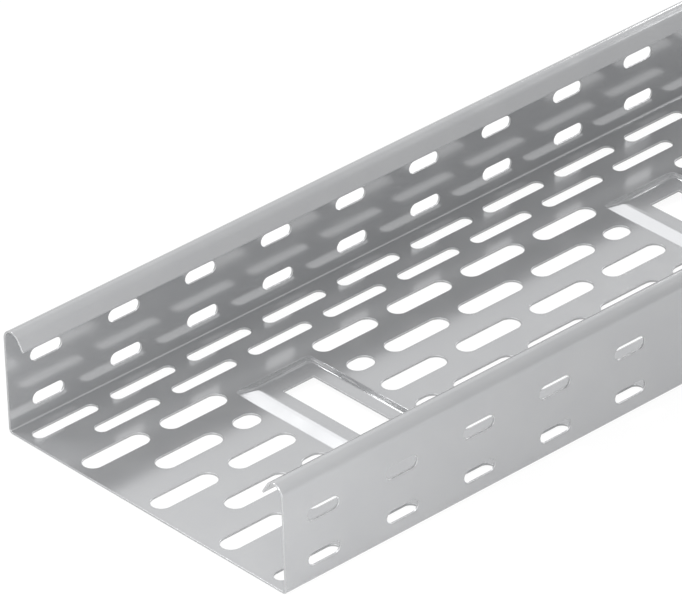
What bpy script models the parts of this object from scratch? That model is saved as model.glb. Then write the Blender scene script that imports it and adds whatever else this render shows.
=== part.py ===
"""Perforated cable tray: one length of sheet steel, pierced, pressed and folded into a channel with
rolled lips. Metres, +Z up. X runs along the tray, Y across it, and the tray stands on Z = 0 with its
middle over the origin. The slot pattern starts at the end at -X.
"""

import math

import bmesh
import bpy
from mathutils import Matrix, Vector

# Sheet and folded section
TRAY_LENGTH = 0.500
TRAY_WIDTH = 0.2008
TRAY_HEIGHT = 0.060
SHEET = 0.0012
BASE_BEND_INNER_RADIUS = 0.0013
LIP_INNER_RADIUS = 0.0048
LIP_TURN = math.radians(147)
LIP_LEG = 0.0066

# Slot pattern
PITCH = 0.050
SLOT_WEB = 0.010
WIDE_SLOT_WIDTH = 0.0113
WIDE_ROW_SPACING = 0.025
NARROW_SLOT_WIDTH = 0.0076
OUTER_ROW_INSET = 0.0129
INNER_ROW_INSET = 0.0301
SIDE_SLOT_LENGTH = 0.020
SIDE_SLOT_HEIGHT = 0.007
LOWEST_SIDE_ROW = 0.0125
SIDE_ROW_SPACING = 0.0248
LEAST_WEB = 0.003

# Pressed panels, one to each run of slot pitches
PITCHES_PER_PANEL = 5
PANEL_LENGTH = 0.050
PANEL_WIDTH = 0.0985
PANEL_CORNER_RADIUS = 0.0035
PANEL_RISE = 0.0031
END_SLOPE_RUN = 0.00825
SIDE_SLOPE_RUN = 0.01025
FOOT_SHARE = 0.12
CREST_SHARE = 0.40
CUTOUT_LENGTH = 0.020
CUTOUT_WIDTH = 0.058

# Facets
BASE_BEND_STEPS = 8
LIP_STEPS = 16
SLOT_END_STEPS = 8
CORNER_STEPS = 4
FOOT_STEPS = 2
CREST_STEPS = 4
SMOOTH_UNDER = math.radians(30)

# Look
STEEL_COLOUR = (0.56, 0.57, 0.58, 1.0)
STEEL_ROUGHNESS = 0.35

# Worked out from the sizes above
HALF_LENGTH = TRAY_LENGTH / 2
HALF_WIDTH = TRAY_WIDTH / 2
BASE_BEND_RADIUS = BASE_BEND_INNER_RADIUS + SHEET
LIP_RADIUS = LIP_INNER_RADIUS + SHEET
LIP_CENTRE_Z = TRAY_HEIGHT - LIP_RADIUS
LIP_END_Z = LIP_CENTRE_Z + LIP_RADIUS * math.sin(LIP_TURN) + LIP_LEG * math.cos(LIP_TURN)
SLOT_LENGTH = PITCH - SLOT_WEB
INNER_ROW_Y = HALF_WIDTH - INNER_ROW_INSET
OUTER_ROW_Y = HALF_WIDTH - OUTER_ROW_INSET
PANEL_PITCH = PITCHES_PER_PANEL * PITCH
ROUNDING = 0.00001


def clear_scene():
    for obj in list(bpy.data.objects):
        bpy.data.objects.remove(obj, do_unlink=True)


def new_collection(name):
    collection = bpy.data.collections.new(name)
    bpy.context.scene.collection.children.link(collection)
    return collection


def galvanised_steel():
    material = bpy.data.materials.new("galvanised_steel")
    material.use_nodes = True
    shader = material.node_tree.nodes["Principled BSDF"]
    shader.inputs["Base Color"].default_value = STEEL_COLOUR
    shader.inputs["Metallic"].default_value = 1.0
    shader.inputs["Roughness"].default_value = STEEL_ROUGHNESS
    return material


def new_object(name, mesh, collection):
    obj = bpy.data.objects.new(name, mesh)
    collection.objects.link(obj)
    return obj


def evaluated_mesh(obj):
    """The object's shape after its modifiers, as a mesh of its own."""
    graph = bpy.context.evaluated_depsgraph_get()
    return bpy.data.meshes.new_from_object(obj.evaluated_get(graph))


# The folded section, drawn as the outer face of one half and then thickened inwards


class SectionLine:
    """A line of vertices across the tray that runs straight or bends, as the folded sheet does."""

    def __init__(self, bm, start):
        self.bm = bm
        self.tip = bm.verts.new(start)
        self.heading = 0.0

    def direction(self, turn=0.0):
        angle = self.heading + turn
        return Vector((0.0, math.cos(angle), math.sin(angle)))

    def run(self, length):
        self.tip = bmesh.ops.extrude_vert_indiv(self.bm, verts=[self.tip])["verts"][0]
        self.tip.co += length * self.direction()

    def bend(self, radius, turn, steps):
        centre = self.tip.co + radius * self.direction(math.pi / 2)
        swept = bmesh.ops.spin(
            self.bm, geom=[self.tip], cent=centre, axis=(1, 0, 0), angle=turn, steps=steps
        )
        self.tip = swept["geom_last"][0]
        self.heading += turn


def half_sheet_mesh():
    """The outer face of the half at +Y: base, bend, wall and rolled lip."""
    bm = bmesh.new()
    line = SectionLine(bm, (-HALF_LENGTH, 0.0, 0.0))
    line.run(HALF_WIDTH - BASE_BEND_RADIUS)
    line.bend(BASE_BEND_RADIUS, math.pi / 2, BASE_BEND_STEPS)
    line.run(LIP_CENTRE_Z - BASE_BEND_RADIUS)
    line.bend(LIP_RADIUS, LIP_TURN, LIP_STEPS)
    line.run(LIP_LEG)
    swept = bmesh.ops.extrude_edge_only(bm, edges=bm.edges[:])["geom"]
    far_end = [item for item in swept if isinstance(item, bmesh.types.BMVert)]
    bmesh.ops.translate(bm, verts=far_end, vec=(TRAY_LENGTH, 0.0, 0.0))
    mesh = bpy.data.meshes.new("cable_tray")
    bm.to_mesh(mesh)
    bm.free()
    return mesh


def folded_sheet(collection):
    tray = new_object("cable_tray", half_sheet_mesh(), collection)
    mirror = tray.modifiers.new("other_half", "MIRROR")
    mirror.use_axis = (False, True, False)
    mirror.merge_threshold = ROUNDING
    solidify = tray.modifiers.new("sheet", "SOLIDIFY")
    solidify.thickness = SHEET
    solidify.offset = 1.0
    solidify.use_even_offset = True
    return tray


# Where the panels and the slots lie along the tray


def places_along(first, spacing, length):
    """Middles of the features of this length that fit between the tray's ends."""
    places = []
    middle = first - HALF_LENGTH
    while middle + (length + SLOT_WEB) / 2 <= HALF_LENGTH + ROUNDING:
        places.append(middle)
        middle += spacing
    return places


def panel_middles():
    return places_along(PANEL_PITCH / 2, PANEL_PITCH, PANEL_LENGTH)


def aligned_middles():
    return places_along(PITCH / 2, PITCH, SLOT_LENGTH)


def staggered_middles():
    return places_along(PITCH, PITCH, SLOT_LENGTH)


def beside_panels(start, end):
    """What is left of a slot where the panels and half a web on each side are kept whole."""
    stretches = [(start, end)]
    kept_clear = (PANEL_LENGTH + SLOT_WEB) / 2
    for panel in panel_middles():
        before = panel - kept_clear
        after = panel + kept_clear
        split = []
        for low, high in stretches:
            split += [(low, min(high, before)), (max(low, after), high)]
        stretches = [(low, high) for low, high in split if high > low]
    return stretches


# Outlines of the openings, as closed lines of (along, across) points


def stadium(start, end, across, width):
    """A slot with round ends."""
    radius = width / 2
    points = []
    for centre, first_angle in ((end - radius, -math.pi / 2), (start + radius, math.pi / 2)):
        for step in range(SLOT_END_STEPS + 1):
            angle = first_angle + math.pi * step / SLOT_END_STEPS
            points.append((centre + radius * math.cos(angle), across + radius * math.sin(angle)))
    return points


def rectangle(middle, length, width):
    corners = ((-1, -1), (1, -1), (1, 1), (-1, 1))
    return [(middle + side * length / 2, end * width / 2) for side, end in corners]


def base_row(middles, across, width):
    """One row of slots through the base, cut short where it meets a panel."""
    outlines = []
    meets_panels = abs(across) - width / 2 < PANEL_WIDTH / 2
    for middle in middles:
        start = middle - SLOT_LENGTH / 2
        end = middle + SLOT_LENGTH / 2
        stretches = beside_panels(start, end) if meets_panels else [(start, end)]
        outlines += [stadium(low, high, across, width) for low, high in stretches if high - low > width]
    return outlines


def base_openings():
    outlines = base_row(aligned_middles(), 0.0, WIDE_SLOT_WIDTH)
    across = WIDE_ROW_SPACING
    middles = staggered_middles()
    other_middles = aligned_middles()
    widest = INNER_ROW_Y - (NARROW_SLOT_WIDTH + WIDE_SLOT_WIDTH) / 2 - LEAST_WEB
    while across <= widest:
        outlines += base_row(middles, across, WIDE_SLOT_WIDTH)
        outlines += base_row(middles, -across, WIDE_SLOT_WIDTH)
        across += WIDE_ROW_SPACING
        middles, other_middles = other_middles, middles
    for side in (-1, 1):
        outlines += base_row(staggered_middles(), side * INNER_ROW_Y, NARROW_SLOT_WIDTH)
        outlines += base_row(aligned_middles(), side * OUTER_ROW_Y, NARROW_SLOT_WIDTH)
    outlines += [rectangle(middle, CUTOUT_LENGTH, CUTOUT_WIDTH) for middle in panel_middles()]
    return outlines


def side_openings():
    """The wall slots, as (along, up) points. Each outline cuts both walls."""
    outlines = []
    height = LOWEST_SIDE_ROW
    while height + SIDE_SLOT_HEIGHT / 2 + LEAST_WEB <= LIP_END_Z:
        for middle in aligned_middles():
            start = middle - SIDE_SLOT_LENGTH / 2
            end = middle + SIDE_SLOT_LENGTH / 2
            outlines.append(stadium(start, end, height, SIDE_SLOT_HEIGHT))
        height += SIDE_ROW_SPACING
    return outlines


def as_cutter(obj):
    obj.hide_render = True
    obj.display_type = "WIRE"
    return obj


def punch(name, outlines, depth, matrix, collection):
    """The outlines as one cutter, half the depth to each side of their plane."""
    curve = bpy.data.curves.new(name, "CURVE")
    curve.dimensions = "2D"
    curve.fill_mode = "BOTH"
    curve.extrude = depth / 2
    for outline in outlines:
        spline = curve.splines.new("POLY")
        spline.points.add(len(outline) - 1)
        for point, (along, across) in zip(spline.points, outline):
            point.co = (along, across, 0.0, 1.0)
        spline.use_cyclic_u = True
    drawing = new_object(name + "_outline", curve, collection)
    drawing.matrix_world = matrix
    bpy.context.view_layer.update()
    mesh = evaluated_mesh(drawing)
    bm = bmesh.new()
    bm.from_mesh(mesh)
    bmesh.ops.remove_doubles(bm, verts=bm.verts, dist=ROUNDING)
    bmesh.ops.recalc_face_normals(bm, faces=bm.faces)
    bm.to_mesh(mesh)
    bm.free()
    bpy.data.objects.remove(drawing)
    cutter = as_cutter(new_object(name, mesh, collection))
    cutter.matrix_world = matrix
    return cutter


# The pressed panels: one block adds the raised form, and the same block a sheet lower hollows it


def slope_height(share):
    """The rise at this share of the slope's run: a small curve at the foot, a wider one at the crest."""
    steepness = 2 / (2 - CREST_SHARE - FOOT_SHARE)
    if share < FOOT_SHARE:
        return PANEL_RISE * steepness * share**2 / (2 * FOOT_SHARE)
    if share < 1 - CREST_SHARE:
        return PANEL_RISE * steepness * (share - FOOT_SHARE / 2)
    return PANEL_RISE * (1 - steepness * (1 - share) ** 2 / (2 * CREST_SHARE))


def slope_shares():
    """Shares of the run at which the slope has an edge."""
    shares = [FOOT_SHARE * step / FOOT_STEPS for step in range(FOOT_STEPS + 1)]
    shares += [1 - CREST_SHARE * (1 - step / CREST_STEPS) for step in range(CREST_STEPS + 1)]
    return shares


def panel_foot(bm, middle, height):
    """The panel's footprint with round corners, as one flat face. Gives its edges."""
    earlier = set(bm.faces)
    place = Matrix.Translation((middle, 0.0, height))
    size = Matrix.Diagonal((PANEL_LENGTH, PANEL_WIDTH, 1.0, 1.0))
    foot = bmesh.ops.create_grid(bm, x_segments=1, y_segments=1, size=0.5, matrix=place @ size)
    bmesh.ops.bevel(
        bm,
        geom=foot["verts"],
        affect="VERTICES",
        offset=PANEL_CORNER_RADIUS,
        segments=CORNER_STEPS,
        profile=0.5,
        material=-1,
    )
    outline = next(face for face in bm.faces if face not in earlier)
    return list(outline.edges)


def raise_rim(bm, rim):
    """Extrudes a closed line of edges. Gives the new vertices and the new line."""
    raised = bmesh.ops.extrude_edge_only(bm, edges=rim)["geom"]
    verts = {item for item in raised if isinstance(item, bmesh.types.BMVert)}
    edges = [item for item in raised if isinstance(item, bmesh.types.BMEdge)]
    return list(verts), [edge for edge in edges if verts.issuperset(edge.verts)]


def panel_body(bm, middle, foot_height):
    """One raised form: a foot inside the sheet, the slopes with round edges, and the flat top."""
    centre = Matrix.Translation((middle, 0.0, 0.0))
    height = foot_height - SHEET / 2
    rim = panel_foot(bm, middle, height)
    size = Vector((1.0, 1.0))
    for share in slope_shares():
        verts, rim = raise_rim(bm, rim)
        end_size = 1 - 2 * share * END_SLOPE_RUN / PANEL_LENGTH
        side_size = 1 - 2 * share * SIDE_SLOPE_RUN / PANEL_WIDTH
        narrowing = (end_size / size.x, side_size / size.y, 1.0)
        bmesh.ops.scale(bm, verts=verts, vec=narrowing, space=centre.inverted())
        rise = foot_height + slope_height(share) - height
        bmesh.ops.translate(bm, verts=verts, vec=(0.0, 0.0, rise))
        size = Vector((end_size, side_size))
        height += rise
    bmesh.ops.contextual_create(bm, geom=rim)


def panel_block(name, foot_height, collection):
    """The panels' raised form as a cutter, one body for each panel."""
    bm = bmesh.new()
    for middle in panel_middles():
        panel_body(bm, middle, foot_height)
    bmesh.ops.recalc_face_normals(bm, faces=bm.faces)
    mesh = bpy.data.meshes.new(name)
    bm.to_mesh(mesh)
    bm.free()
    return as_cutter(new_object(name, mesh, collection))


def combine(obj, other, operation):
    modifier = obj.modifiers.new(other.name, "BOOLEAN")
    modifier.object = other
    modifier.operation = operation
    modifier.solver = "EXACT"


def settle(obj, material):
    """Applies the modifiers and shades the bends smooth."""
    mesh = evaluated_mesh(obj)
    obj.modifiers.clear()
    obj.data = mesh
    mesh.materials.clear()
    mesh.materials.append(material)
    mesh.shade_smooth()
    mesh.set_sharp_from_angle(angle=SMOOTH_UNDER)


def main():
    clear_scene()
    parts = new_collection("perforated_cable_tray")
    cutters = new_collection("cutters")
    tray = folded_sheet(parts)
    combine(tray, panel_block("panel_form", SHEET, cutters), "UNION")
    combine(tray, panel_block("panel_hollow", 0.0, cutters), "DIFFERENCE")
    base_depth = 2 * (PANEL_RISE + 2 * SHEET)
    combine(tray, punch("base_punch", base_openings(), base_depth, Matrix(), cutters), "DIFFERENCE")
    upright = Matrix.Rotation(math.pi / 2, 4, "X")
    side_depth = TRAY_WIDTH + 2 * SHEET
    combine(tray, punch("side_punch", side_openings(), side_depth, upright, cutters), "DIFFERENCE")
    settle(tray, galvanised_steel())


main()
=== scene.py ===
"""Perforated cable tray in zinc-coated steel, on a pale studio floor.

Metres, +Z up. X runs along the tray and Y across it, and the slot pattern starts at the end at -X.
"""

import math

import bmesh
import bpy
from bpy.props import FloatProperty, FloatVectorProperty, IntProperty, PointerProperty
from mathutils import Euler, Matrix, Vector


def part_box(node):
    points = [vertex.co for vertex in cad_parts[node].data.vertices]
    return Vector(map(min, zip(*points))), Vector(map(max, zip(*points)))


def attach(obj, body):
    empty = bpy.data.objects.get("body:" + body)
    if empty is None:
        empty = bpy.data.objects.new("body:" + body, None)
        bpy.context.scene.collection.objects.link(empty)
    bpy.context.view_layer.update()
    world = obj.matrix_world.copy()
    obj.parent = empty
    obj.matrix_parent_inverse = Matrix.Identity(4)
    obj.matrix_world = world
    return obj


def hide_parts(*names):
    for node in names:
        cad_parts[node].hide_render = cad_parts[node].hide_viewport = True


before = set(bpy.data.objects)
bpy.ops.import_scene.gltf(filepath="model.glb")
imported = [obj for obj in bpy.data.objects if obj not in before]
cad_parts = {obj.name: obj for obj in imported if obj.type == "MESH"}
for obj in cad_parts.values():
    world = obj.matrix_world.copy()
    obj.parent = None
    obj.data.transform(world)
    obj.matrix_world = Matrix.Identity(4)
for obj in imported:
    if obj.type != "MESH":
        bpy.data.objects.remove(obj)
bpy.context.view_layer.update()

bl_info = {
    "name": "Perforated Cable Tray",
    "version": (1, 0, 0),
    "blender": (4, 5, 0),
    "location": "3D View > Sidebar > Cable Tray",
    "description": "A length of slotted cable tray with rolled lips, and a studio to show it in",
    "category": "Add Mesh",
}

LOWEST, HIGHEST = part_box("cable_tray")
MERGE_DISTANCE = 0.000002

# The tray's material slots: zinc-coated steel comes first, and bare cut steel second
CUT_STEEL_SLOT = 1


class TraySection(bpy.types.PropertyGroup):
    """Sizes of the folded sheet."""

    length: FloatProperty(
        name="Length",
        description="Length of the tray",
        default=HIGHEST.x - LOWEST.x,
        unit="LENGTH",
    )
    width: FloatProperty(
        name="Width",
        description="Width over the walls",
        default=HIGHEST.y - LOWEST.y,
        unit="LENGTH",
    )
    height: FloatProperty(
        name="Height",
        description="Height over the lips",
        default=HIGHEST.z - LOWEST.z,
        unit="LENGTH",
    )
    sheet: FloatProperty(
        name="Sheet",
        description="Thickness of the sheet",
        default=0.0012,
        unit="LENGTH",
    )
    base_bend: FloatProperty(
        name="Base Bend",
        description="Inner radius between base and wall",
        default=0.0013,
        unit="LENGTH",
    )
    lip_bend: FloatProperty(
        name="Lip Roll",
        description="Inner radius of the rolled lip",
        default=0.0048,
        unit="LENGTH",
    )
    lip_turn: FloatProperty(
        name="Lip Turn",
        description="How far the lip rolls over",
        default=math.radians(147),
        unit="ROTATION",
    )
    lip_leg: FloatProperty(
        name="Lip Leg",
        description="Straight edge after the roll",
        default=0.0066,
        unit="LENGTH",
    )
    edge_round: FloatProperty(
        name="Edge Rounding",
        description="Rounding of the sheet's cut edges",
        default=0.0003,
        unit="LENGTH",
    )


class TraySlots(bpy.types.PropertyGroup):
    """Sizes and places of the slots."""

    pitch: FloatProperty(
        name="Pitch",
        description="Distance from slot to slot in a row",
        default=0.050,
        unit="LENGTH",
    )
    web: FloatProperty(
        name="Web",
        description="Steel left between two slots of a row",
        default=0.010,
        unit="LENGTH",
    )
    wide: FloatProperty(
        name="Wide Slot",
        description="Width of the middle rows' slots",
        default=0.0113,
        unit="LENGTH",
    )
    wide_spacing: FloatProperty(
        name="Row Spacing",
        description="Distance between the middle rows",
        default=0.025,
        unit="LENGTH",
    )
    narrow: FloatProperty(
        name="Narrow Slot",
        description="Width of the slots by the walls",
        default=0.0076,
        unit="LENGTH",
    )
    outer_inset: FloatProperty(
        name="Outer Row",
        description="Outer narrow row, from the wall's outside",
        default=0.0129,
        unit="LENGTH",
    )
    inner_inset: FloatProperty(
        name="Inner Row",
        description="Inner narrow row, from the wall's outside",
        default=0.0301,
        unit="LENGTH",
    )
    side_length: FloatProperty(
        name="Wall Slot Length",
        description="Length of the wall slots",
        default=0.020,
        unit="LENGTH",
    )
    side_height: FloatProperty(
        name="Wall Slot Height",
        description="Height of the wall slots",
        default=0.007,
        unit="LENGTH",
    )
    low_row: FloatProperty(
        name="Low Wall Row",
        description="Height of the lower wall row",
        default=0.0125,
        unit="LENGTH",
    )
    high_row: FloatProperty(
        name="High Wall Row",
        description="Height of the upper wall row",
        default=0.0373,
        unit="LENGTH",
    )
    break_edge: FloatProperty(
        name="Broken Edge",
        description="Bevel left on the pierced edges",
        default=0.0002,
        unit="LENGTH",
    )


class TrayPanels(bpy.types.PropertyGroup):
    """Sizes of the pressed panels in the base."""

    pitches: IntProperty(
        name="Pitches per Panel",
        description="Slot pitches from panel to panel",
        default=5,
    )
    length: FloatProperty(
        name="Length",
        description="Length of the pressing",
        default=0.050,
        unit="LENGTH",
    )
    width: FloatProperty(
        name="Width",
        description="Width of the pressing",
        default=0.0985,
        unit="LENGTH",
    )
    corner: FloatProperty(
        name="Corner",
        description="Corner radius of the pressing",
        default=0.0035,
        unit="LENGTH",
    )
    rise: FloatProperty(
        name="Rise",
        description="Height of the pressing over the base",
        default=0.0031,
        unit="LENGTH",
    )
    end_slope: FloatProperty(
        name="End Slope",
        description="Run of the slopes across the tray",
        default=0.00825,
        unit="LENGTH",
    )
    side_slope: FloatProperty(
        name="Side Slope",
        description="Run of the slopes along the tray",
        default=0.01025,
        unit="LENGTH",
    )
    foot: FloatProperty(
        name="Foot Curve",
        description="Share of a slope that curves at its foot",
        default=0.12,
    )
    crest: FloatProperty(
        name="Crest Curve",
        description="Share of a slope that curves at its crest",
        default=0.40,
    )
    cutout_length: FloatProperty(
        name="Cut-out Length",
        description="Cut-out along the tray",
        default=0.020,
        unit="LENGTH",
    )
    cutout_width: FloatProperty(
        name="Cut-out Width",
        description="Cut-out across the tray",
        default=0.058,
        unit="LENGTH",
    )
    cutout_corner: FloatProperty(
        name="Cut-out Corner",
        description="Corner radius of the cut-out",
        default=0.0003,
        unit="LENGTH",
    )


class TrayFinish(bpy.types.PropertyGroup):
    """The zinc-coated steel."""

    light_zinc: FloatVectorProperty(
        name="Light Zinc",
        description="Lighter colour of the coating",
        default=(0.415, 0.42, 0.425),
        subtype="COLOR",
        min=0.0,
        max=1.0,
    )
    dark_zinc: FloatVectorProperty(
        name="Dark Zinc",
        description="Darker colour of the coating",
        default=(0.38, 0.385, 0.395),
        subtype="COLOR",
        min=0.0,
        max=1.0,
    )
    smooth: FloatProperty(
        name="Smoothest",
        description="Roughness of the smoothest patches",
        default=0.11,
    )
    rough: FloatProperty(
        name="Roughest",
        description="Roughness of the dullest patches",
        default=0.15,
    )
    metallic: FloatProperty(
        name="Metallic",
        description="Share that mirrors as bare metal does",
        default=0.65,
    )
    cut_steel: FloatVectorProperty(
        name="Cut Steel",
        description="Bare steel where the sheet was cut",
        default=(0.36, 0.363, 0.37),
        subtype="COLOR",
        min=0.0,
        max=1.0,
    )
    cut_roughness: FloatProperty(
        name="Cut Roughness",
        description="Roughness where the sheet was cut",
        default=0.42,
    )


class StudioLook(bpy.types.PropertyGroup):
    """Floor and lamps."""

    floor_colour: FloatVectorProperty(
        name="Floor",
        description="Colour of the floor",
        default=(0.90, 0.90, 0.90),
        subtype="COLOR",
        min=0.0,
        max=1.0,
    )
    white_share: FloatProperty(
        name="Plain White",
        description="Share of plain white in the floor that is seen",
        default=0.93,
    )
    surround: FloatProperty(
        name="Surroundings",
        description="Strength of the even light from all round",
        default=0.82,
    )


# A line of edges carried along a path, for the folded section and for the punches


def new_rim(made):
    """The new vertices and the moved line of edges, from what extrude_edge_only gives."""
    verts = {item for item in made if isinstance(item, bmesh.types.BMVert)}
    edges = [item for item in made if isinstance(item, bmesh.types.BMEdge)]
    return list(verts), [edge for edge in edges if verts.issuperset(edge.verts)]


class Sweep:
    """A line of edges carried along straight runs and bends, leaving faces behind it."""

    def __init__(self, bm, points, place, heading, axis):
        self.bm = bm
        verts = [bm.verts.new(point) for point in points]
        self.front = [bm.edges.new(pair) for pair in zip(verts, verts[1:])]
        self.place = Vector(place)
        self.heading = Vector(heading)
        self.axis = Vector(axis)

    def run(self, length):
        made = bmesh.ops.extrude_edge_only(self.bm, edges=self.front)["geom"]
        verts, self.front = new_rim(made)
        step = length * self.heading
        bmesh.ops.translate(self.bm, verts=verts, vec=step)
        self.place += step

    def bend(self, radius, turn, steps):
        centre = self.place + radius * self.axis.cross(self.heading)
        made = bmesh.ops.spin(
            self.bm, geom=self.front, cent=centre, axis=self.axis, angle=turn, steps=steps
        )
        self.front = [item for item in made["geom_last"] if isinstance(item, bmesh.types.BMEdge)]
        rotation = Matrix.Rotation(turn, 3, self.axis)
        self.place = centre + rotation @ (self.place - centre)
        self.heading = rotation @ self.heading


def mesh_from(bm, name):
    """The built shape as a mesh. The bmesh is freed."""
    mesh = bpy.data.meshes.new(name)
    bm.to_mesh(mesh)
    bm.free()
    return mesh


def add_object(name, mesh):
    obj = bpy.data.objects.new(name, mesh)
    bpy.context.scene.collection.objects.link(obj)
    return obj


def evaluated_mesh(obj):
    """The object's shape after its modifiers, as a mesh of its own."""
    graph = bpy.context.evaluated_depsgraph_get()
    return bpy.data.meshes.new_from_object(obj.evaluated_get(graph))


# The folded sheet

BASE_BEND_STEPS = 12
LIP_STEPS = 28
EDGE_ROUND_STEPS = 3
BEVEL_OVER = math.radians(60)


def half_section(section):
    """The outer face of the half at +Y: base, bend, wall and rolled lip."""
    bm = bmesh.new()
    half_length = section.length / 2
    half_width = section.width / 2
    outer_bend = section.base_bend + section.sheet
    outer_lip = section.lip_bend + section.sheet
    ends = [(-half_length, 0.0, 0.0), (half_length, 0.0, 0.0)]
    sweep = Sweep(bm, ends, (0.0, 0.0, 0.0), (0.0, 1.0, 0.0), (1.0, 0.0, 0.0))
    sweep.run(half_width - outer_bend)
    sweep.bend(outer_bend, math.pi / 2, BASE_BEND_STEPS)
    sweep.run(section.height - outer_lip - outer_bend)
    sweep.bend(outer_lip, section.lip_turn, LIP_STEPS)
    sweep.run(section.lip_leg)
    bmesh.ops.remove_doubles(bm, verts=bm.verts, dist=MERGE_DISTANCE)
    bmesh.ops.recalc_face_normals(bm, faces=bm.faces)
    return mesh_from(bm, "half_section")


def folded_sheet(section):
    """Both halves, with the sheet's thickness and its rounded cut edges."""
    tray = add_object("tray_in_steel", half_section(section))
    mirror = tray.modifiers.new("other_half", "MIRROR")
    mirror.use_axis = (False, True, False)
    mirror.merge_threshold = MERGE_DISTANCE
    solidify = tray.modifiers.new("sheet", "SOLIDIFY")
    solidify.thickness = section.sheet
    solidify.offset = -1.0
    solidify.use_even_offset = True
    solidify.material_offset_rim = CUT_STEEL_SLOT
    rounding = tray.modifiers.new("cut_edges", "BEVEL")
    rounding.limit_method = "ANGLE"
    rounding.angle_limit = BEVEL_OVER
    rounding.width = section.edge_round
    rounding.segments = EDGE_ROUND_STEPS
    return tray


# Where the slots and the panels lie along the tray


def places_along(section, slots, first, spacing, length):
    """Middles of the features of this length that fit between the tray's ends."""
    places = []
    middle = first - section.length / 2
    while middle + (length + slots.web) / 2 <= section.length / 2 + MERGE_DISTANCE:
        places.append(middle)
        middle += spacing
    return places


def beside_panels(slots, panels, middles, start, end):
    """What is left of a slot, as the panels and half a web on each side are kept whole."""
    stretches = [(start, end)]
    kept_clear = (panels.length + slots.web) / 2
    for panel in middles:
        before = panel - kept_clear
        after = panel + kept_clear
        split = []
        for low, high in stretches:
            split += [(low, min(high, before)), (max(low, after), high)]
        stretches = [(low, high) for low, high in split if high > low]
    return stretches


class SlotPlan:
    """The slots as (low end, high end, place across, width), worked out from the sizes."""

    def __init__(self, section, slots, panels):
        self.section = section
        self.slots = slots
        self.panels = panels
        self.length = slots.pitch - slots.web
        self.aligned = places_along(section, slots, slots.pitch / 2, slots.pitch, self.length)
        self.staggered = places_along(section, slots, slots.pitch, slots.pitch, self.length)
        panel_pitch = panels.pitches * slots.pitch
        first_panel = panel_pitch / 2
        self.panel_middles = places_along(section, slots, first_panel, panel_pitch, panels.length)

    def row(self, middles, across, width):
        """One row of base slots, cut short where it meets a panel."""
        found = []
        meets_panels = abs(across) - width / 2 < self.panels.width / 2
        for middle in middles:
            start = middle - self.length / 2
            end = middle + self.length / 2
            stretches = [(start, end)]
            if meets_panels:
                stretches = beside_panels(self.slots, self.panels, self.panel_middles, start, end)
            found += [(low, high, across, width) for low, high in stretches if high - low > width]
        return found

    def base(self):
        """All base slots, row by row from the middle to the walls."""
        spacing = self.slots.wide_spacing
        half_width = self.section.width / 2
        found = self.row(self.aligned, 0.0, self.slots.wide)
        for side in (-1, 1):
            found += self.row(self.staggered, side * spacing, self.slots.wide)
            found += self.row(self.aligned, side * 2 * spacing, self.slots.wide)
            inner = side * (half_width - self.slots.inner_inset)
            outer = side * (half_width - self.slots.outer_inset)
            found += self.row(self.staggered, inner, self.slots.narrow)
            found += self.row(self.aligned, outer, self.slots.narrow)
        return found

    def wall(self):
        """The two rows of one wall, with the height in place of the place across."""
        half = self.slots.side_length / 2
        width = self.slots.side_height
        rows = (self.slots.low_row, self.slots.high_row)
        return [(x - half, x + half, z, width) for z in rows for x in self.aligned]


# Punches: each one flares where it meets the sheet's faces, which leaves the edge broken

SLOT_END_STEPS = 14
CUTOUT_CORNER_STEPS = 3
OVERSHOOT = 0.0003


def punch_profile(section, slots, start):
    """A line through the sheet's thickness at the start point, flared past both faces."""
    half = section.sheet / 2
    waist = half - slots.break_edge
    flare = slots.break_edge + OVERSHOOT
    x, y = start
    return [
        (x, y - flare, half + OVERSHOOT),
        (x, y, waist),
        (x, y, -waist),
        (x, y - flare, -half - OVERSHOOT),
    ]


def slot_punch(bm, section, slots, slot):
    """A slot with round ends, in the XY plane with the sheet's middle at Z = 0."""
    low, high, across, width = slot
    radius = width / 2
    straight = high - low - width
    start = (low + radius, across - radius)
    profile = punch_profile(section, slots, start)
    sweep = Sweep(bm, profile, (*start, 0.0), (1.0, 0.0, 0.0), (0.0, 0.0, 1.0))
    for _ in range(2):
        sweep.run(straight)
        sweep.bend(radius, math.pi, SLOT_END_STEPS)


def cutout_punch(bm, section, slots, panels, middle):
    """The panel's cut-out, in the XY plane with the sheet's middle at Z = 0."""
    corner = panels.cutout_corner
    start = (middle - panels.cutout_length / 2 + corner, -panels.cutout_width / 2)
    profile = punch_profile(section, slots, start)
    sweep = Sweep(bm, profile, (*start, 0.0), (1.0, 0.0, 0.0), (0.0, 0.0, 1.0))
    for side in (panels.cutout_length, panels.cutout_width) * 2:
        sweep.run(side - 2 * corner)
        sweep.bend(corner, math.pi / 2, CUTOUT_CORNER_STEPS)


def close_punches(bm):
    """Joins each punch's first and last line, and closes its two ends.

    The punch's faces leave cut steel on the sheet.
    """
    bmesh.ops.remove_doubles(bm, verts=bm.verts, dist=MERGE_DISTANCE)
    rims = [edge for edge in bm.edges if edge.is_boundary]
    bmesh.ops.holes_fill(bm, edges=rims, sides=0)
    bmesh.ops.recalc_face_normals(bm, faces=bm.faces)
    for face in bm.faces:
        face.material_index = CUT_STEEL_SLOT


def base_punches(section, slots, panels, plan):
    """The base's slots, and the cut-outs at the height of the panels' tops."""
    bm = bmesh.new()
    for slot in plan.base():
        slot_punch(bm, section, slots, slot)
    lift = Matrix.Translation((0.0, 0.0, section.sheet / 2))
    bmesh.ops.transform(bm, matrix=lift, verts=bm.verts)
    before = set(bm.verts)
    for middle in plan.panel_middles:
        cutout_punch(bm, section, slots, panels, middle)
    fresh = [vert for vert in bm.verts if vert not in before]
    bmesh.ops.translate(bm, verts=fresh, vec=(0.0, 0.0, panels.rise + section.sheet / 2))
    close_punches(bm)
    return add_object("base_punches", mesh_from(bm, "base_punches"))


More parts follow.
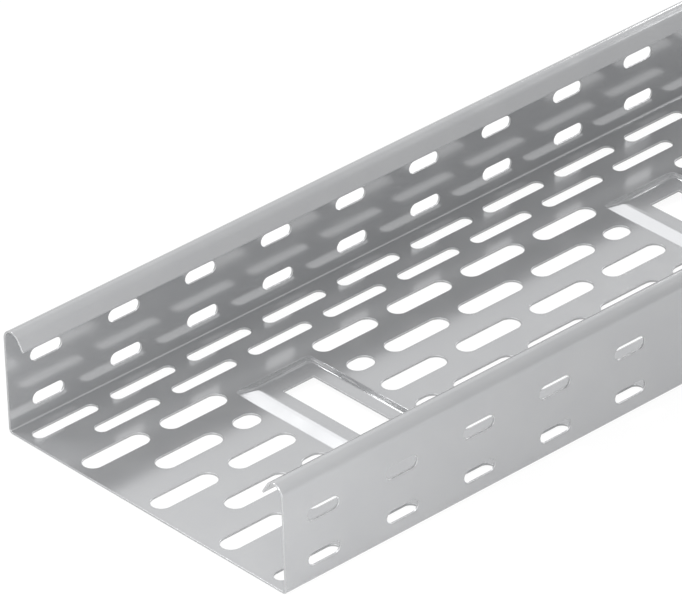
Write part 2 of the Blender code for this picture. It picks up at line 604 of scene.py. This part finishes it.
def wall_punches(name, section, slots, plan, side):
    """The slots of the wall at +Y or -Y, stood upright in the middle of its thickness."""
    bm = bmesh.new()
    for slot in plan.wall():
        slot_punch(bm, section, slots, slot)
    close_punches(bm)
    upright = Matrix.Rotation(math.pi / 2, 4, "X")
    place = Matrix.Translation((0.0, side * (section.width - section.sheet) / 2, 0.0))
    bmesh.ops.transform(bm, matrix=place @ upright, verts=bm.verts)
    return add_object(name, mesh_from(bm, name))


# The pressed panels: one block adds the raised form, and the same block a sheet lower hollows it

ROUND_PROFILE = 0.5
CORNER_STEPS = 8
FOOT_STEPS = 3
CREST_STEPS = 9


def slope_profile(panels):
    """The slope as (share of the run, rise): a small curve at the foot, a wider one at the crest.

    The steepness between them makes the three parts add up to the panel's rise.
    """
    foot = panels.foot
    crest = panels.crest
    steepness = 2 / (2 - crest - foot)
    profile = []
    for step in range(FOOT_STEPS + 1):
        share = foot * step / FOOT_STEPS
        profile.append((share, panels.rise * steepness * share**2 / (2 * foot)))
    for step in range(CREST_STEPS + 1):
        left = crest * (1 - step / CREST_STEPS)
        profile.append((1 - left, panels.rise * (1 - steepness * left**2 / (2 * crest))))
    return profile


def panel_foot(bm, panels, middle, height):
    """The panel's footprint with round corners. Gives its edges."""
    earlier = set(bm.faces)
    place = Matrix.Translation((middle, 0.0, height))
    half_size = Matrix.Diagonal((panels.length / 2, panels.width / 2, 1.0, 1.0))
    foot = bmesh.ops.create_grid(bm, x_segments=1, y_segments=1, size=1.0, matrix=place @ half_size)
    bmesh.ops.bevel(
        bm,
        geom=foot["verts"],
        affect="VERTICES",
        offset=panels.corner,
        segments=CORNER_STEPS,
        profile=ROUND_PROFILE,
        material=-1,
    )
    outline = next(face for face in bm.faces if face not in earlier)
    return list(outline.edges)


def panel_body(bm, section, panels, middle, foot_height):
    """One closed block, from half a sheet under its foot up the slopes to the flat top."""
    centre = Matrix.Translation((middle, 0.0, 0.0))
    height = foot_height - section.sheet / 2
    rim = panel_foot(bm, panels, middle, height)
    size = Vector((1.0, 1.0))
    for share, slope_height in slope_profile(panels):
        verts, rim = new_rim(bmesh.ops.extrude_edge_only(bm, edges=rim)["geom"])
        end_size = 1 - 2 * share * panels.end_slope / panels.length
        side_size = 1 - 2 * share * panels.side_slope / panels.width
        narrowing = (end_size / size.x, side_size / size.y, 1.0)
        bmesh.ops.scale(bm, verts=verts, vec=narrowing, space=centre.inverted())
        rise = foot_height + slope_height - height
        bmesh.ops.translate(bm, verts=verts, vec=(0.0, 0.0, rise))
        size = Vector((end_size, side_size))
        height += rise
    bmesh.ops.contextual_create(bm, geom=rim)


def panel_blocks(name, section, panels, plan, foot_height):
    """One block per panel, with their feet at this height."""
    bm = bmesh.new()
    for middle in plan.panel_middles:
        panel_body(bm, section, panels, middle, foot_height)
    bmesh.ops.recalc_face_normals(bm, faces=bm.faces)
    return add_object(name, mesh_from(bm, name))


# The finish

CLOUD_SCALE = 55.0
CLOUD_DETAIL = 4.0
CLOUD_LOW = 0.3
CLOUD_HIGH = 0.7
ROLLING_STRETCH = (14.0, 900.0, 900.0)
ROLLING_DETAIL = 3.0
ROLLING_STRENGTH = 0.01
ROLLING_DEPTH = 0.0001
GRAIN_SCALE = 900.0
GRAIN_DETAIL = 2.0
GRAIN_CONTRAST = 0.2


def link(tree, source, output, target, socket):
    tree.links.new(source.outputs[output], target.inputs[socket])


def new_material(name):
    """A material with its node tree and its shader."""
    material = bpy.data.materials.new(name)
    material.use_nodes = True
    tree = material.node_tree
    return material, tree, tree.nodes["Principled BSDF"]


def noise(tree, source, output, scale, detail):
    """A noise texture that is placed by another node's output."""
    texture = tree.nodes.new("ShaderNodeTexNoise")
    texture.inputs["Scale"].default_value = scale
    texture.inputs["Detail"].default_value = detail
    link(tree, source, output, texture, "Vector")
    return texture


def tint_between(tree, texture, low, high, shader):
    """Colours the shader from low to high, as the texture goes from 0 to 1."""
    tint = tree.nodes.new("ShaderNodeMix")
    tint.data_type = "RGBA"
    tint.inputs["A"].default_value = (*low, 1.0)
    tint.inputs["B"].default_value = (*high, 1.0)
    link(tree, texture, "Fac", tint, "Factor")
    link(tree, tint, "Result", shader, "Base Color")


def zinc_coated_steel(finish):
    """Smooth zinc coating: faint clouding and fine rolling lines along the tray."""
    material, tree, shader = new_material("zinc_coated_steel")
    shader.inputs["Metallic"].default_value = finish.metallic
    place = tree.nodes.new("ShaderNodeTexCoord")
    clouds = noise(tree, place, "Object", CLOUD_SCALE, CLOUD_DETAIL)
    tint_between(tree, clouds, finish.dark_zinc, finish.light_zinc, shader)

    dullness = tree.nodes.new("ShaderNodeMapRange")
    dullness.inputs["From Min"].default_value = CLOUD_LOW
    dullness.inputs["From Max"].default_value = CLOUD_HIGH
    dullness.inputs["To Min"].default_value = finish.smooth
    dullness.inputs["To Max"].default_value = finish.rough
    link(tree, clouds, "Fac", dullness, "Value")
    link(tree, dullness, "Result", shader, "Roughness")

    stretch = tree.nodes.new("ShaderNodeMapping")
    stretch.inputs["Scale"].default_value = ROLLING_STRETCH
    link(tree, place, "Object", stretch, "Vector")
    lines = noise(tree, stretch, "Vector", 1.0, ROLLING_DETAIL)
    relief = tree.nodes.new("ShaderNodeBump")
    relief.inputs["Strength"].default_value = ROLLING_STRENGTH
    relief.inputs["Distance"].default_value = ROLLING_DEPTH
    link(tree, lines, "Fac", relief, "Height")
    link(tree, relief, "Normal", shader, "Normal")
    return material


def bare_cut_steel(finish):
    """Steel left bare and a little rough where the sheet was cut or pierced."""
    material, tree, shader = new_material("bare_cut_steel")
    shader.inputs["Metallic"].default_value = finish.metallic
    shader.inputs["Roughness"].default_value = finish.cut_roughness
    place = tree.nodes.new("ShaderNodeTexCoord")
    grain = noise(tree, place, "Object", GRAIN_SCALE, GRAIN_DETAIL)
    low = [(1 - GRAIN_CONTRAST) * channel for channel in finish.cut_steel]
    high = [(1 + GRAIN_CONTRAST) * channel for channel in finish.cut_steel]
    tint_between(tree, grain, low, high, shader)
    return material


# Building the tray

SHARP_OVER = math.radians(35)


def combine(obj, other, operation):
    """Adds the other shape to the object, or takes it away."""
    modifier = obj.modifiers.new(other.name, "BOOLEAN")
    modifier.object = other
    modifier.operation = operation
    modifier.solver = "EXACT"


def settle(obj, cutters):
    """Applies the modifiers, removes the cutters, and shades the bends smooth."""
    mesh = evaluated_mesh(obj)
    obj.modifiers.clear()
    obj.data = mesh
    for cutter in cutters:
        bpy.data.objects.remove(cutter)
    mesh.shade_smooth()
    mesh.set_sharp_from_angle(angle=SHARP_OVER)
    weighted = obj.modifiers.new("flat_faces_first", "WEIGHTED_NORMAL")
    weighted.keep_sharp = True
    obj.data = evaluated_mesh(obj)
    obj.modifiers.clear()


class CABLETRAY_OT_tray(bpy.types.Operator):
    """Make the cable tray with its slots, pressed panels and rolled lips"""

    bl_idname = "cable_tray.make_tray"
    bl_label = "Cable Tray"

    def execute(self, context):
        sizes = context.scene.cable_tray
        section = sizes.section
        slots = sizes.slots
        panels = sizes.panels
        plan = SlotPlan(section, slots, panels)
        tray = folded_sheet(section)
        raised = panel_blocks("panel_form", section, panels, plan, section.sheet)
        hollow = panel_blocks("panel_hollow", section, panels, plan, 0.0)
        in_base = base_punches(section, slots, panels, plan)
        near = wall_punches("near_wall_punches", section, slots, plan, -1)
        far = wall_punches("far_wall_punches", section, slots, plan, 1)
        zinc = zinc_coated_steel(sizes.finish)
        bare = bare_cut_steel(sizes.finish)
        for obj in (tray, raised, hollow, in_base, near, far):
            obj.data.materials.append(zinc)
            obj.data.materials.append(bare)
        combine(tray, raised, "UNION")
        for cutter in (hollow, in_base, near, far):
            combine(tray, cutter, "DIFFERENCE")
        settle(tray, (raised, hollow, in_base, near, far))
        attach(tray, "root")
        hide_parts("cable_tray")
        return {"FINISHED"}


# The studio

FLOOR_HALF = 4.0
FLOOR_HEIGHT = -0.0001
LAMP_DISTANCE = 2.5
LAMP_AIM = Vector((-0.1, 0.0, 0.02))
FRONT_AIM = Vector((-0.25, -0.1, 0.03))
CAMERA_PLACE = Vector((-2.19759, -2.35686, 1.98981))
CAMERA_TURN = Euler((math.radians(58.459), math.radians(1.652), math.radians(-42.395)))
CAMERA_LENS = 403.64
CAMERA_REACH = 50.0
PAPER_ROUGHNESS = 0.9
WHITE = (1.0, 1.0, 1.0, 1.0)

# Name, direction and height over the floor in degrees, size in metres, power in watts
SOFTBOXES = (
    ("softbox_left", 124, 55, 0.5, 27.9),
    ("softbox_behind", 90, 58, 1.4, 8.8),
    ("softbox_right_behind", 45, 32, 1.4, 1.1),
    ("softbox_low_behind", 40, 17, 0.6, 11.3),
    ("softbox_right", 0, 32, 1.4, 33.8),
)

# Name, place, aim, size in metres, power in watts
FRONT_LAMPS = (
    ("lamp_at_front_end", Vector((-0.5, -0.15, 0.2)), LAMP_AIM, 0.2, 1.2),
    ("lamp_over_front_end", Vector((-0.32, -0.05, 0.35)), FRONT_AIM, 0.2, 0.25),
    ("lamp_at_near_wall", Vector((-0.3, -0.3, 0.06)), FRONT_AIM, 0.15, 0.24),
)


def studio_floor(studio):
    """A pale sheet that is seen nearly white, also in the steel, and still shows a shadow.

    It lies a hair under the tray, so that the two faces don't share a plane.
    """
    bm = bmesh.new()
    place = Matrix.Translation((0.0, 0.0, FLOOR_HEIGHT))
    bmesh.ops.create_grid(bm, x_segments=1, y_segments=1, size=FLOOR_HALF, matrix=place)
    floor = add_object("studio_floor", mesh_from(bm, "studio_floor"))
    material, tree, paper = new_material("pale_floor")
    nodes = tree.nodes
    paper.inputs["Base Color"].default_value = (*studio.floor_colour, 1.0)
    paper.inputs["Roughness"].default_value = PAPER_ROUGHNESS
    white = nodes.new("ShaderNodeEmission")
    path = nodes.new("ShaderNodeLightPath")
    seen = path.outputs["Is Camera Ray"]
    for name in ("Is Glossy Ray", "Is Transmission Ray"):
        either = nodes.new("ShaderNodeMath")
        either.operation = "MAXIMUM"
        tree.links.new(seen, either.inputs[0])
        tree.links.new(path.outputs[name], either.inputs[1])
        seen = either.outputs["Value"]
    share = nodes.new("ShaderNodeMath")
    share.operation = "MULTIPLY"
    share.inputs[1].default_value = studio.white_share
    tree.links.new(seen, share.inputs[0])
    mix = nodes.new("ShaderNodeMixShader")
    link(tree, share, "Value", mix, 0)
    link(tree, paper, "BSDF", mix, 1)
    link(tree, white, "Emission", mix, 2)
    link(tree, mix, "Shader", nodes["Material Output"], "Surface")
    floor.data.materials.append(material)


def soft_lamp(name, place, aim, size, power):
    """A square softbox turned to its aim. The steel mirrors it, and the camera doesn't see it."""
    lamp = bpy.data.lights.new(name, "AREA")
    lamp.size = size
    lamp.energy = power
    obj = add_object(name, lamp)
    obj.location = place
    obj.rotation_euler = (aim - place).to_track_quat("-Z", "Y").to_euler()
    obj.visible_camera = False


def round_the_tray(turn, height):
    """A place at the softboxes' distance, from its direction and its height in degrees."""
    raised = Matrix.Rotation(math.radians(-height), 3, "Y")
    turned = Matrix.Rotation(math.radians(turn), 3, "Z")
    return turned @ raised @ Vector((LAMP_DISTANCE, 0.0, 0.0))


def studio_lamps():
    for name, turn, height, size, power in SOFTBOXES:
        soft_lamp(name, round_the_tray(turn, height), LAMP_AIM, size, power)
    for name, place, aim, size, power in FRONT_LAMPS:
        soft_lamp(name, place, aim, size, power)


def studio_world(studio):
    world = bpy.data.worlds.new("studio_light")
    world.use_nodes = True
    light = world.node_tree.nodes["Background"]
    light.inputs["Color"].default_value = WHITE
    light.inputs["Strength"].default_value = studio.surround
    bpy.context.scene.world = world


def studio_camera():
    camera = bpy.data.cameras.new("studio_camera")
    camera.lens = CAMERA_LENS
    camera.clip_end = CAMERA_REACH
    obj = add_object("studio_camera", camera)
    obj.location = CAMERA_PLACE
    obj.rotation_euler = CAMERA_TURN
    bpy.context.scene.camera = obj


class CABLETRAY_OT_studio(bpy.types.Operator):
    """Make the floor, lamps, world and camera"""

    bl_idname = "cable_tray.make_studio"
    bl_label = "Studio"

    def execute(self, context):
        studio = context.scene.cable_tray.studio
        studio_floor(studio)
        studio_world(studio)
        studio_lamps()
        studio_camera()
        context.scene.view_settings.view_transform = "Standard"
        return {"FINISHED"}


class CableTraySettings(bpy.types.PropertyGroup):
    """Everything a user can change."""

    section: PointerProperty(type=TraySection, name="Section", description="Folded sheet")
    slots: PointerProperty(type=TraySlots, name="Slots", description="Slots in base and walls")
    panels: PointerProperty(type=TrayPanels, name="Panels", description="Pressed panels")
    finish: PointerProperty(type=TrayFinish, name="Finish", description="Zinc-coated steel")
    studio: PointerProperty(type=StudioLook, name="Studio", description="Floor and lamps")


class CABLETRAY_PT_sidebar(bpy.types.Panel):
    """Sizes, colours and buttons of the cable tray"""

    bl_idname = "CABLETRAY_PT_sidebar"
    bl_label = "Cable Tray"
    bl_space_type = "VIEW_3D"
    bl_region_type = "UI"
    bl_category = "Cable Tray"

    def draw(self, context):
        settings = context.scene.cable_tray
        self.layout.operator(CABLETRAY_OT_tray.bl_idname)
        self.layout.operator(CABLETRAY_OT_studio.bl_idname)
        for group_name in settings.__annotations__:
            group = getattr(settings, group_name)
            box = self.layout.box()
            for name in group.__annotations__:
                box.prop(group, name)


CLASSES = (
    TraySection,
    TraySlots,
    TrayPanels,
    TrayFinish,
    StudioLook,
    CableTraySettings,
    CABLETRAY_OT_tray,
    CABLETRAY_OT_studio,
    CABLETRAY_PT_sidebar,
)


def register():
    for cls in CLASSES:
        bpy.utils.register_class(cls)
    bpy.types.Scene.cable_tray = PointerProperty(type=CableTraySettings)


def unregister():
    del bpy.types.Scene.cable_tray
    for cls in reversed(CLASSES):
        bpy.utils.unregister_class(cls)


def main():
    register()
    bpy.ops.cable_tray.make_tray()
    bpy.ops.cable_tray.make_studio()


if __name__ == "__main__":
    main()
